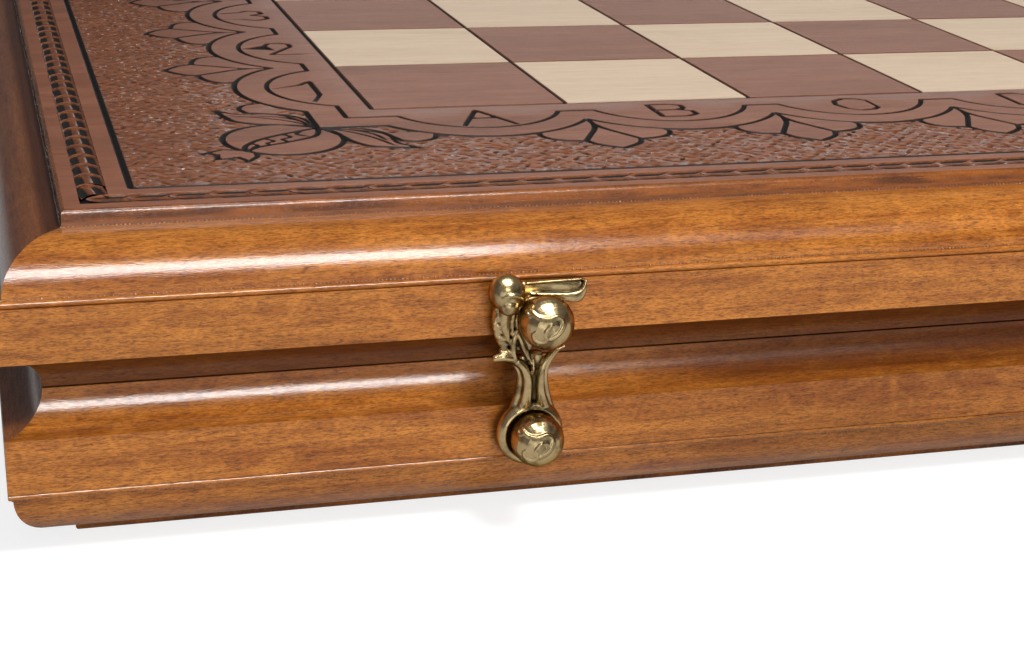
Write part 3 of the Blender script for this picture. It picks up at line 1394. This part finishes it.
@dataclass
class JointBeads:
    """Beads of lacquer in the joints of the moulding."""

    radius: float = 0.2
    pitch: float = 0.85

    def _bead(self) -> bpy.types.Object:
        """One bead."""
        mesh = bpy.data.meshes.new("bead")
        ball = bmesh.new()
        bmesh.ops.create_icosphere(ball, subdivisions=1, radius=self.radius * MM)
        ball.to_mesh(mesh)
        ball.free()
        mesh.shade_smooth()
        return linked("bead", mesh)

    def build(self, tray: Tray, border: CarvedBorder, material: bpy.types.Material) -> None:
        """Builds the beads at the foot of the panel and of the quarter-round.

        Args:
            tray: The tray.
            border: Its carved border, for the panel's size.
            material: Finish of the beads.
        """
        back = border.back_y - 1
        for label, out, drop in (("panel", 0.16, 3.45), ("ledge", 12.62, 13.92)):
            x, y = border.panel_x + out, border.front_y - out
            plan = corners_path([(-x, back), (-x, y), (x, y), (x, back)], 40)
            path = tray.place(np.column_stack([plan, np.full(len(plan), drop)]))
            row = RowAlong("bead row", self.pitch, 0.45, 0.0, seed=11)
            piece = row.build(f"{tray.body}_{label}_beads", path, self._bead(), material)
            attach(piece, tray.body)
            log.info("%s: %d faces", piece.name, len(piece.data.polygons))


@dataclass
class Casting:
    """Closed lumps that are merged into one cast surface. They are given in millimetres."""

    name: str
    voxel: float = 0.2
    cap: tuple[Point, ...] = ((0.95, 0.35), (0.65, 0.8), (0.2, 1.0))
    points: list[np.ndarray] = field(default_factory=list)
    faces: list[list[int]] = field(default_factory=list)

    def _ring_body(self, rings: Sequence[np.ndarray], closed: bool = False) -> None:
        """Adds a body of rings, with its ends capped unless it is closed on itself."""
        start = sum(len(p) for p in self.points)
        count = len(rings[0])
        self.points.extend(rings)
        total = len(rings)
        for i in range(total if closed else total - 1):
            for j in range(count):
                a, b = start + i * count + j, start + i * count + (j + 1) % count
                c, d = (start + ((i + 1) % total) * count + k for k in ((j + 1) % count, j))
                self.faces.append([a, b, c, d])
        if not closed:
            self.faces.append([start + j for j in reversed(range(count))])
            self.faces.append([start + (total - 1) * count + j for j in range(count)])

    def blade(self, stations: Sequence[Sequence[float]], boxy: float = 2.0, sides: int = 16) -> None:
        """Adds a bar that follows a path in the arm's plane.

        Args:
            stations: For each point of the path x, z, distance in front of the arm's back, half the
                width in the plane and half the thickness.
            boxy: Exponent of the section: 2 is an ellipse and more is squarer.
            sides: Points round the section.
        """
        rows = smooth_path(stations, 0.5)
        tangent = np.gradient(rows[:, :2], axis=0)
        tangent /= np.maximum(np.linalg.norm(tangent, axis=1), 1e-9)[:, None]
        ends = []
        for at, sign in ((0, -1), (-1, 1)):
            for shrink, reach in self.cap:
                end = rows[at].copy()
                end[:2] += sign * tangent[at] * min(rows[at][3], rows[at][4]) * reach
                end[3:] *= shrink
                ends.append((end, tangent[at]))
        body = [*ends[:len(self.cap)][::-1], *zip(rows, tangent), *ends[len(self.cap):]]
        angles = np.linspace(0, 2 * math.pi, sides, endpoint=False)
        flat = 2 / boxy
        across = np.sign(np.cos(angles)) * np.abs(np.cos(angles)) ** flat
        out = np.sign(np.sin(angles)) * np.abs(np.sin(angles)) ** flat
        rings = []
        for (x, z, t, w, h), (tx, tz) in body:
            rings.append(np.column_stack([x - tz * w * across, t + h * out, z + tx * w * across]))
        self._ring_body(rings)

    def cord(self, path: np.ndarray, thick: float, sides: int = 8) -> None:
        """Adds a round bar along a path in space, thinner at its ends.

        Args:
            path: Points as x, distance forwards and z.
            thick: Greatest radius.
            sides: Points round the section.
        """
        radii = thick * (0.55 + 0.45 * np.sin(math.pi * np.linspace(0, 1, len(path))))
        tangent = np.gradient(path, axis=0)
        tangent /= np.linalg.norm(tangent, axis=1)[:, None]
        rings = []
        for point, way, radius in zip(path, tangent, radii):
            side = np.cross(way, (0.0, 1.0, 0.0))
            side /= max(np.linalg.norm(side), 1e-9)
            up = np.cross(side, way)
            angles = np.linspace(0, 2 * math.pi, sides, endpoint=False)[:, None]
            rings.append(point + radius * (np.cos(angles) * side + np.sin(angles) * up))
        self._ring_body(rings)

    def turned(self, profile: Sequence[Point], centre: Point = (0, 0), closed: bool = False,
               sides: int = 64) -> None:
        """Adds a turned body whose axis points forwards.

        Args:
            profile: Radius and distance forwards of each point.
            centre: x and z of the axis.
            closed: Whether the profile is a loop, as on a ring.
            sides: Points round the axis.
        """
        angles = np.linspace(0, 2 * math.pi, sides, endpoint=False)
        self._ring_body([np.column_stack([centre[0] + r * np.cos(angles), np.full(sides, float(t)),
                                          centre[1] + r * np.sin(angles)]) for r, t in profile], closed)

    def ball(self, centre: Sequence[float], radius: float) -> None:
        """Adds a ball, its middle given as x, distance forwards and z."""
        x, t, z = centre
        angles = np.radians(np.linspace(-88, 88, 15))
        self.turned([(radius * math.cos(a), t + radius * math.sin(a)) for a in angles], (x, z), sides=28)

    def merged(self, smooth: int = 2) -> tuple[np.ndarray, np.ndarray]:
        """Merges the lumps into one closed surface.

        Args:
            smooth: Number of smoothing passes.

        Returns:
            Points as x, distance forwards and z, and quads that point outwards.
        """
        mesh = bpy.data.meshes.new(self.name)
        mesh.from_pydata([tuple(p) for p in np.vstack(self.points)], [], self.faces)
        lump = bmesh.new()
        lump.from_mesh(mesh)
        bmesh.ops.recalc_face_normals(lump, faces=lump.faces)
        lump.to_mesh(mesh)
        lump.free()
        carrier = linked(self.name, mesh)
        remesh = carrier.modifiers.new("merge", "REMESH")
        remesh.mode = "VOXEL"
        remesh.voxel_size = self.voxel
        melt = carrier.modifiers.new("melt", "SMOOTH")
        melt.factor, melt.iterations = 0.5, smooth
        real = plain_copy(carrier)
        points = np.empty(len(real.vertices) * 3)
        real.vertices.foreach_get("co", points)
        faces = [tuple(f.vertices) for f in real.polygons]
        bpy.data.objects.remove(carrier)
        bpy.data.meshes.remove(real)
        return points.reshape(-1, 3), faces


def hollowness(points: np.ndarray, faces: Sequence[Sequence[int]], passes: int = 14) -> np.ndarray:
    """Depth of each point below its smoothed surroundings, in the units of the points.

    Args:
        points: Points of a closed surface.
        faces: Its faces.
        passes: Number of smoothing passes.

    Returns:
        Array of depths, positive in hollows.
    """
    pairs = np.array([(f[k], f[(k + 1) % len(f)]) for f in faces for k in range(len(f))])
    count = np.bincount(pairs[:, 0], minlength=len(points)).astype(float)
    soft = points.copy()
    for _ in range(passes):
        total = np.zeros_like(soft)
        for axis in range(3):
            total[:, axis] = np.bincount(pairs[:, 0], soft[pairs[:, 1], axis], minlength=len(points))
        soft = 0.4 * soft + 0.6 * total / np.maximum(count, 1)[:, None]
    normal = np.zeros_like(points)
    for face in faces:
        a, b, c = points[face[0]], points[face[1]], points[face[2]]
        normal[list(face)] += np.cross(b - a, c - a)
    normal /= np.maximum(np.linalg.norm(normal, axis=1), 1e-12)[:, None]
    return np.einsum("ij,ij->i", soft - points, normal)


@dataclass
class HookLatch:
    """A cast hook latch: arm, pivot post and catch post."""

    front_y: float = -145.0
    back_y: float = -146.1
    pivot_z: float = 22.0
    catch_gap: float = 26.0
    latch_x: float = 185.0
    lower_ball: tuple[float, float, float] = (-0.2, 8.15, 0.0)
    upper_ball: tuple[float, float, float] = (0.4, 9.45, 0.4)
    ball_radius: float = 6.0

    def _arm(self) -> Casting:
        """The arm's lumps, with the pivot at the origin.

        Returns:
            The casting.
        """
        arm = Casting("arm")
        arm.turned([(3.55, 0.1), (6.5, 0.1), (7.1, 0.8), (7.3, 1.6), (7.15, 2.5), (6.75, 3.2), (6.3, 3.7),
                    (5.85, 3.85), (5.5, 3.6), (4.65, 2.6), (3.55, 1.5)], (-0.35, -0.3), closed=True)
        slab = 1.25
        arm.blade([(0, 4.4, slab, 4.2, slab), (0, 7, slab, 3.3, slab), (-0.1, 10, slab, 2.9, slab),
                   (-0.3, 13, slab, 2.9, slab), (-1.2, 16.4, slab, 3.2, slab)], 4.0)
        ring = []
        for angle, width in ((258, 2.3), (240, 2.55), (215, 2.6), (190, 2.6), (165, 2.6), (140, 2.5),
                             (122, 2.3)):
            radius = 3.75 + width
            ring.append((radius * math.cos(math.radians(angle)),
                         self.catch_gap + radius * math.sin(math.radians(angle)), 1.3, width, 1.3))
        arm.blade(ring, 4.0)
        arm.blade([(-5, 31.7, 1.5, 1.7, 1.4), (0, 31.7, 1.4, 1.75, 1.3), (5, 31.6, 1.4, 1.8, 1.3),
                   (8.2, 31.3, 1.5, 2.1, 1.4), (9.2, 31.6, 1.5, 1.8, 1.4)], 3.0)
        arm.blade([(-2.5, 33.2, 2.3, 0.3, 0.8), (2, 33.35, 2.3, 0.28, 0.8), (9.4, 33.5, 2.3, 0.26, 0.8)])
        arm.blade([(-1.6, 31.0, 2.0, 0.35, 1.3), (2.5, 30.6, 2.6, 0.6, 1.4), (6.2, 30.0, 2.9, 1.05, 1.5),
                   (8.4, 30.0, 2.9, 1.35, 1.5), (9.6, 31.4, 2.7, 0.9, 1.4), (10.0, 33.0, 2.4, 0.4, 1.2)])
        arm.blade([(-0.4, 31.0, 3.1, 0.3, 0.6), (3, 30.9, 3.7, 0.34, 0.6), (7, 30.9, 4.2, 0.36, 0.6),
                   (9.0, 31.7, 4.2, 0.36, 0.6), (9.9, 33.4, 3.6, 0.32, 0.6)])
        self._stem(arm)
        self._leaves(arm)
        arm.ball((-7.1, 3.9, 31.9), 3.85)
        arm.ball((-7.1, 5.9, 29.7), 2.15)
        curl = np.array([(-9.3, 6.75, 31.0), (-8.5, 7.3, 31.9), (-7.1, 7.7, 32.4), (-5.6, 7.4, 32.1),
                         (-4.5, 6.6, 31.1), (-4.1, 5.4, 29.7), (-4.7, 4.6, 28.2)])
        arm.cord(smooth_path(curl, 0.3), 0.5)
        return arm

    def _stem(self, arm: Casting) -> None:
        """The two stalks, their wings behind them and the spear between them."""
        arm.blade([(-2.85, 4.3, 2.1, 1.4, 0.9), (-1.95, 6.2, 2.6, 1.35, 1.2), (-1.6, 9, 2.8, 1.1, 1.25),
                   (-1.65, 12, 2.9, 0.98, 1.2), (-2.4, 14.5, 2.9, 0.88, 1.1), (-3.8, 16.1, 2.9, 0.8, 0.95)])
        arm.blade([(2.85, 4.3, 2.1, 1.45, 0.9), (1.95, 6.2, 2.6, 1.3, 1.2), (1.4, 9, 2.8, 0.98, 1.25),
                   (1.2, 12, 2.9, 0.82, 1.2), (1.45, 14.6, 2.9, 0.72, 1.1), (2.5, 16.6, 2.8, 0.6, 1.0),
                   (4.2, 18.0, 2.6, 0.45, 0.85), (6.4, 18.9, 2.4, 0.24, 0.6)])
        arm.blade([(3.6, 4.6, 1.2, 1.5, 1.2), (3.0, 8, 1.2, 1.0, 1.2), (2.4, 12, 1.2, 0.9, 1.2),
                   (3.0, 15, 1.2, 0.8, 1.15), (4.5, 17.2, 1.4, 0.6, 1.0), (6.2, 18.7, 1.7, 0.3, 0.8)])
        arm.blade([(-3.6, 4.6, 1.2, 1.5, 1.2), (-3.0, 8, 1.2, 1.0, 1.2), (-2.6, 12, 1.2, 0.9, 1.2),
                   (-3.6, 14.8, 1.3, 0.9, 1.2), (-5.6, 16.4, 1.6, 0.8, 1.2), (-8.3, 16.9, 1.8, 0.5, 1.0)])
        arm.blade([(-0.45, 12.7, 2.2, 0.15, 0.6), (-0.45, 14.4, 2.6, 0.4, 0.9), (-0.4, 16.6, 2.4, 0.15, 0.6)])

    def _leaves(self, arm: Casting) -> None:
        """The curled leaf, the forked leaf, the long leaf with its vein and the rough bark beside it."""
        arm.blade([(-3.5, 15.5, 2.4, 0.7, 0.9), (-5.2, 16.9, 2.7, 0.95, 1.15), (-7.0, 17.4, 2.8, 0.95, 1.15),
                   (-8.7, 17.1, 2.5, 0.75, 1.0)])
        arm.blade([(-4.4, 16.7, 2.3, 0.6, 0.9), (-5.9, 18.2, 2.5, 0.9, 1.0), (-7.4, 18.5, 2.3, 0.6, 0.9)])
        arm.blade([(-4.2, 16.5, 2.8, 0.3, 0.7), (-5.0, 18.5, 3.0, 0.6, 0.85), (-5.0, 21.0, 3.0, 0.6, 0.85),
                   (-4.3, 23.6, 2.8, 0.16, 0.6)])
        arm.blade([(-1.7, 16.6, 2.6, 0.28, 0.7), (-2.7, 18.8, 2.9, 0.5, 0.8), (-3.6, 21.2, 2.9, 0.5, 0.8),
                   (-4.3, 23.4, 2.8, 0.16, 0.6)])
        arm.blade([(-0.9, 15.4, 2.4, 0.22, 0.6), (-1.8, 18.0, 2.6, 0.3, 0.7), (-3.0, 20.6, 2.6, 0.3, 0.6),
                   (-4.2, 23.4, 2.5, 0.25, 0.6), (-4.4, 26.2, 2.5, 0.25, 0.6)])
        arm.blade([(-5.8, 20.2, 2.8, 0.2, 0.5), (-6.6, 22.6, 3.0, 0.7, 0.8), (-7.1, 25.0, 3.1, 1.05, 0.9),
                   (-6.8, 27.5, 3.1, 1.2, 0.95), (-6.4, 29.2, 3.0, 1.0, 0.9)])
        arm.blade([(-5.3, 22.0, 2.7, 0.2, 0.5), (-5.4, 24.8, 2.9, 0.42, 0.7), (-5.0, 27.2, 2.8, 0.42, 0.7),
                   (-4.6, 28.8, 2.6, 0.3, 0.6)])
        arm.blade([(-7.6, 29.5, 1.5, 1.0, 1.2), (-8.1, 27, 1.5, 1.1, 1.2), (-8.3, 24.5, 1.5, 1.1, 1.2),
                   (-7.8, 22, 1.5, 1.1, 1.2), (-6.6, 19.6, 1.5, 1.0, 1.2), (-5.4, 18, 1.5, 0.8, 1.1)])
        rng = np.random.default_rng(5)
        for _ in range(90):
            angle, radius = math.radians(rng.uniform(162, 238)), rng.uniform(7.2, 9.1)
            arm.ball((radius * math.cos(angle), 2.7 - 0.5 * abs(radius - 8.1),
                      self.catch_gap + radius * math.sin(angle)), rng.uniform(0.3, 0.62))

    def _post(self, ball: Sequence[float]) -> Casting:
        """A ball post's lumps: flange, neck and a ball with a raised scroll, the band's face at 0.

        Args:
            ball: Middle of the ball as x, distance forwards and z.

        Returns:
            The casting.
        """
        post = Casting("post")
        post.turned([(0.3, 0.02), (4.3, 0.02), (4.35, 0.4), (4.2, 0.75), (3.1, 0.8), (2.95, 1.2), (2.9, 3.0),
                     (2.9, 5.0), (0.3, 5.6)])
        radius = self.ball_radius - 0.35
        post.ball(ball, radius)
        yaw, lean = math.radians(17), math.radians(20)
        right = np.array([math.cos(yaw), math.sin(yaw), 0.0])
        near = np.array([-math.sin(yaw) * math.cos(lean), math.cos(yaw) * math.cos(lean), math.sin(lean)])
        above = np.cross(right, near)
        scrolls = (
            ([(-0.62, 0.46), (-0.5, 0.3), (-0.3, 0.16), (0.02, 0.12), (0.34, 0.22), (0.55, 0.12),
              (0.56, -0.14), (0.38, -0.42), (0.1, -0.6), (-0.06, -0.44), (0.06, -0.2), (0.2, -0.08)], 0.6),
            ([(-0.62, 0.46), (-0.74, 0.34), (-0.66, 0.2), (-0.54, 0.24)], 0.45),
            ([(0.1, -0.6), (-0.14, -0.74), (-0.4, -0.66), (-0.5, -0.46), (-0.38, -0.36)], 0.48),
        )
        for curve, thick in scrolls:
            flat = smooth_path(np.array(curve) * radius, 0.3)
            front = np.sqrt(np.maximum(radius ** 2 - (flat ** 2).sum(axis=1), 0))
            place = np.outer(flat[:, 0], right) + np.outer(flat[:, 1], above) + np.outer(front, near)
            post.cord(place * (1 - 0.12 / radius) + np.array(ball), thick)
        return post

    def build(self, material: bpy.types.Material) -> list[bpy.types.Object]:
        """Builds both latches.

        Args:
            material: Finish of the castings.

        Returns:
            The castings.
        """
        made = []
        arm = self._arm().merged(3)
        lower_post, upper_post = (self._post(ball).merged(1) for ball in (self.lower_ball, self.upper_ball))
        for side, sign in (("left", -1), ("right", 1)):
            x, upper = sign * self.latch_x, self.pivot_z + self.catch_gap
            made.append(self._place(f"{side}_latch_casting", arm, (x, self.back_y, self.pivot_z),
                                    f"{side}_latch", f"{side}_latch_arm", material))
            made.append(self._place(f"{side}_lower_ball_post", lower_post, (x, self.front_y, self.pivot_z),
                                    "base", f"{side}_pivot_post", material))
            made.append(self._place(f"{side}_upper_ball_post", upper_post, (x, self.front_y, upper),
                                    "lid", f"{side}_catch_post", material))
        return made

    def _place(self, name: str, form: tuple[np.ndarray, list], place: Sequence[float], body: str, node: str,
               material: bpy.types.Material) -> bpy.types.Object:
        """Puts a copy of a casting in its place.

        Args:
            name: Name of the piece.
            form: Points and faces of the casting.
            place: Place of its origin in millimetres.
            body: Body that it rides on.
            node: Node that it stands for.
            material: Its finish.

        Returns:
            The piece.
        """
        points, faces = form
        out = np.column_stack([points[:, 0], -points[:, 1], points[:, 2]]) + np.array(place)
        piece = shaped(name, out * MM, [f[::-1] for f in faces], 70)
        hollow = piece.data.attributes.new("hollow", "FLOAT", "POINT")
        depth = hollowness(points, faces)
        hollow.data.foreach_set("value", (depth - np.median(depth)).astype(np.float32))
        dress(piece, material)
        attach(piece, body)
        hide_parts(node)
        log.info("%s: %d faces", name, len(faces))
        return piece


@dataclass
class Finishes:
    """Dresses the CAD nodes that stay."""

    made: dict[Wood | Brass, bpy.types.Material] = field(default_factory=dict)

    def apply(self) -> None:
        """Puts a finish on every node."""
        plan: dict[str, Wood | Brass] = {}
        for tray in ("base", "lid"):
            plan |= {
                f"{tray}_front_rail": FRONT_MOULDING, f"{tray}_back_rail": FRONT_MOULDING,
                f"{tray}_left_rail": SIDE_MOULDING, f"{tray}_right_rail": SIDE_MOULDING,
                f"{tray}_panel_board": PANEL_EDGE, f"{tray}_carved_plate": CARVED,
                f"{tray}_light_squares": MAPLE, f"{tray}_dark_squares": WALNUT,
                f"{tray}_playing_field": FIELD, f"{tray}_light_points": POINT_PALE,
                f"{tray}_dark_points": POINT_DARK, f"{tray}_hinge_screws": HINGE_BRASS,
            }
        for side in ("left", "right"):
            for part in ("hinge_base_leaf", "hinge_lid_leaf", "hinge_pin"):
                plan[f"{side}_{part}"] = HINGE_BRASS
            for part in ("pivot_post", "catch_post", "latch_arm"):
                plan[f"{side}_{part}"] = CAST_BRASS
        self.made = {finish: finish.material() for finish in dict.fromkeys(plan.values())}
        for name, finish in plan.items():
            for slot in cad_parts[name].material_slots:
                slot.material = self.made[finish]
            log.info("%s: %s", name, finish.name)


class Light(Enum):
    """What a lamp makes."""

    ALL = "shading and highlights"
    GLOSS = "highlights only"
    SHADING = "shading only"


class Reach(Enum):
    """Which pieces a lamp reaches, and how they are listed on it."""

    ALL = ("", "")
    NO_CASTINGS = ("castings", "EXCLUDE")
    CASTINGS = ("castings", "INCLUDE")
    CARVINGS = ("carvings", "INCLUDE")


@dataclass(frozen=True)
class Softbox:
    """A soft lamp: place, aim, width and height in metres, and power in watts."""

    name: str
    place: Place
    aim: Place
    size: Point
    power: float
    light: Light = Light.ALL
    reach: Reach = Reach.ALL
    shape: str = "RECTANGLE"

    def build(self) -> bpy.types.Object:
        """Adds the lamp.

        Returns:
            The lamp.
        """
        data = bpy.data.lights.new(self.name, "AREA")
        data.shape = self.shape
        data.size, data.size_y = self.size
        data.energy = self.power
        lamp = linked(self.name, data)
        lamp.location = self.place
        lamp.rotation_euler = (Vector(self.aim) - Vector(self.place)).to_track_quat("-Z", "Y").to_euler()
        lamp.visible_diffuse = self.light is not Light.GLOSS
        lamp.visible_glossy = self.light is not Light.SHADING
        return lamp


FRONT, BOARD, LATCH = (-0.28, -0.145, 0.06), (0.1, 0.0, 0.07), (-0.185, -0.15, 0.06)
FRONT_STAND = (-0.28, -0.80, 0.53)
SOFTBOXES = (
    Softbox("front gloss", FRONT_STAND, FRONT, (0.66, 0.27), 11.5, Light.GLOSS, Reach.NO_CASTINGS),
    Softbox("dim gloss", (0.2, -0.80, 0.53), (0.1, -0.145, 0.06), (0.26, 0.26), 0.3, Light.ALL,
            Reach.NO_CASTINGS),
    Softbox("top softbox", (0.1, 0.35, 1.3), BOARD, (1.2, 0.9), 1.2, Light.SHADING),
    Softbox("back softbox", (0.5, 1.6, 0.24), BOARD, (2.0, 0.3), 2.2),
    Softbox("front fill", FRONT_STAND, FRONT, (0.66, 0.3), 1.4, Light.SHADING),
    Softbox("low fill", (-0.03, -1.2, 0.12), (-0.15, -0.145, 0.04), (0.5, 0.16), 5.7, Light.SHADING),
    Softbox("high key", (0.05, -0.6, 0.96), (-0.15, -0.145, 0.05), (0.28, 0.28), 10.0, Light.SHADING),
    Softbox("overhead gloss", (-0.2, -0.22, 1.05), (-0.2, -0.15, 0.05), (0.8, 0.8), 13.0, Light.GLOSS,
            Reach.CASTINGS, "DISK"),
    Softbox("sparkle gloss", (-0.2, -0.3, 1.05), (-0.2, -0.1, 0.07), (0.25, 0.25), 2.2, Light.GLOSS,
            Reach.CARVINGS),
    Softbox("bud gloss", FRONT_STAND, (-0.185, -0.15, 0.05), (0.3, 0.2), 1.3, Light.GLOSS, Reach.CASTINGS),
    Softbox("floor gloss", (-0.5, -0.75, 0.02), LATCH, (0.7, 0.5), 1.15, Light.GLOSS, Reach.CASTINGS),
    Softbox("under softbox", (0.0, 0.0, -0.8), (0.0, 0.0, 0.0), (0.8, 0.5), 6.0),
)


@dataclass
class Studio:
    """Floor, lamps, world and camera."""

    place_mm: Place = (-295.0, -495.2, 176.4)
    yaw: float = 16.81
    pitch: float = -19.85
    roll: float = 2.16
    focal_px: float = 1865.2
    width_px: int = 1024
    fill: float = 0.22
    sky_glow: float = 0.16
    floor_glow: float = 0.15
    floor_level: float = 0.8
    floor_size: float = 6.0
    floor_z: float = -0.00005
    well: tuple[Point, Point] = ((-0.278, -0.1305), (0.278, 0.144))
    lamps: dict[Softbox, bpy.types.Object] = field(default_factory=dict)

    def build(self) -> None:
        """Builds the whole studio."""
        self._camera()
        self._floor()
        self._world()
        self.lamps = {softbox: softbox.build() for softbox in SOFTBOXES}
        for name, middle, reach in (("left_flag", (-0.75, 0.1, 0.45), (0.0, 1.6, 0.9)),
                                    ("back_left_flag", (-0.52, 1.0, 0.5), (0.8, 0.0, 1.0)),
                                    ("right_flag", (0.9, -1.3, 0.4), (0.9, 0.5, 0.8)),
                                    ("side_flag", (1.3, -0.55, 0.4), (0.1, 1.1, 0.8))):
            self._flag(name, middle, reach)
        bpy.context.scene.view_settings.view_transform = "Standard"

    def share_gloss(self, castings: Sequence[bpy.types.Object], carvings: Sequence[bpy.types.Object]) -> None:
        """Sets which pieces each lamp reaches.

        Args:
            castings: The latches' pieces.
            carvings: The carved pieces.
        """
        pieces = {"castings": castings, "carvings": carvings}
        for softbox, lamp in self.lamps.items():
            listed, state = softbox.reach.value
            if not listed:
                continue
            group = bpy.data.collections.new(f"{softbox.name} group")
            for piece in pieces[listed]:
                group.objects.link(piece)
            for item in group.collection_objects:
                item.light_linking.link_state = state
            lamp.light_linking.receiver_collection = group

    def _camera(self) -> None:
        """Camera at the photograph's place."""
        yaw, pitch, roll = (math.radians(a) for a in (self.yaw, self.pitch, self.roll))
        ahead = Vector((math.sin(yaw) * math.cos(pitch), math.cos(yaw) * math.cos(pitch), math.sin(pitch)))
        right = Vector((math.cos(yaw), -math.sin(yaw), 0))
        up = right.cross(ahead)
        right, up = (math.cos(roll) * right + math.sin(roll) * up,
                     -math.sin(roll) * right + math.cos(roll) * up)
        data = bpy.data.cameras.new("camera")
        data.sensor_width = 36.0
        data.lens = self.focal_px * 36.0 / self.width_px
        data.clip_start, data.clip_end = 0.01, 20
        camera = linked("camera", data)
        turn = Matrix((right, up, -ahead)).transposed().to_4x4()
        camera.matrix_world = Matrix.Translation(Vector(self.place_mm) * MM) @ turn
        bpy.context.scene.camera = camera

    def _floor(self) -> None:
        """Pale floor that keeps the box's shadow, open under the box and clear from below."""
        made = Shader("studio floor")
        seen = made.node("LightPath")
        lift = made.math("MULTIPLY_ADD", seen.outputs["Is Glossy Ray"], self.floor_glow,
                         seen.outputs["Is Camera Ray"])
        shader = made.node("BsdfPrincipled", {
            "Base Color": tone(160, 160, 160), "Roughness": 0.9, "Specular IOR Level": 0.2,
            "Emission Color": (1.0, 1.0, 1.0),
            "Emission Strength": made.math("MULTIPLY", lift, self.floor_level)})
        clear = made.node("BsdfTransparent")
        behind = made.node("NewGeometry").outputs["Backfacing"]
        both = made.node("MixShader", {0: behind, 1: shader.outputs[0], 2: clear.outputs[0]})
        size = self.floor_size
        rims = (((-size, -size), (size, size)), self.well)
        corners = [(x, y, self.floor_z) for (x0, y0), (x1, y1) in rims
                   for x, y in ((x0, y0), (x1, y0), (x1, y1), (x0, y1))]
        sides = [(k, (k + 1) % 4, 4 + (k + 1) % 4, 4 + k) for k in range(4)]
        floor = shaped("floor", np.array(corners), sides)
        dress(floor, made.surface(both))

    def _flag(self, name: str, middle: Sequence[float], reach: Sequence[float]) -> None:
        """A dark upright card beside the set, out of the camera's sight, that deepens reflections.

        Args:
            name: Name of the card.
            middle: Its middle in metres.
            reach: Its reach along x, y and z.
        """
        made = Shader(name)
        colour = made.mix(made.noise(made.place(), 30, rough=0.5), tone(92, 92, 96), tone(110, 110, 114))
        material = made.finish({"Base Color": colour, "Roughness": 0.9})
        across, up = Vector((reach[0] / 2, reach[1] / 2, 0)), Vector((0, 0, reach[2] / 2))
        centre = Vector(middle)
        corners = [centre - across - up, centre + across - up, centre + across + up, centre - across + up]
        card = shaped(name, np.array(corners), [(0, 1, 2, 3)])
        dress(card, material)
        card.visible_camera = False

    def _world(self) -> None:
        """White background with a plain, softer fill light."""
        world = bpy.data.worlds.new("studio")
        world.use_nodes = True
        tree = world.node_tree
        tree.nodes.clear()
        path = tree.nodes.new("ShaderNodeLightPath")
        level: bpy.types.NodeSocket | float = self.fill
        for name, share in (("Is Glossy Ray", self.sky_glow), ("Is Transmission Ray", self.sky_glow),
                            ("Is Camera Ray", 1.0)):
            blend = tree.nodes.new("ShaderNodeMix")
            tree.links.new(path.outputs[name], blend.inputs[0])
            blend.inputs[3].default_value = share
            if isinstance(level, float):
                blend.inputs[2].default_value = level
            else:
                tree.links.new(level, blend.inputs[2])
            level = blend.outputs[0]
        background = tree.nodes.new("ShaderNodeBackground")
        background.inputs["Color"].default_value = (1, 1, 1, 1)
        tree.links.new(level, background.inputs["Strength"])
        output = tree.nodes.new("ShaderNodeOutputWorld")
        tree.links.new(background.outputs[0], output.inputs["Surface"])
        bpy.context.scene.world = world


def main() -> None:
    """Builds the studio, the finishes and every piece of the box."""
    logging.basicConfig(level=logging.INFO, format="%(name)s: %(message)s")
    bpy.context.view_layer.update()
    studio = Studio()
    studio.build()
    finishes = Finishes()
    finishes.apply()
    border = CarvedBorder()
    joint = GLUE_LINE.material()
    carvings: list[bpy.types.Object] = []
    for tray in Tray:
        carvings += border.build(tray, finishes.made[CARVED])
        carvings += RopeBorder(border).build(tray, finishes.made[CARVED])
        JointBeads().build(tray, border, joint)
    castings = HookLatch().build(finishes.made[CAST_BRASS])
    studio.share_gloss(castings, carvings)


if __name__ == "__main__":
    main()
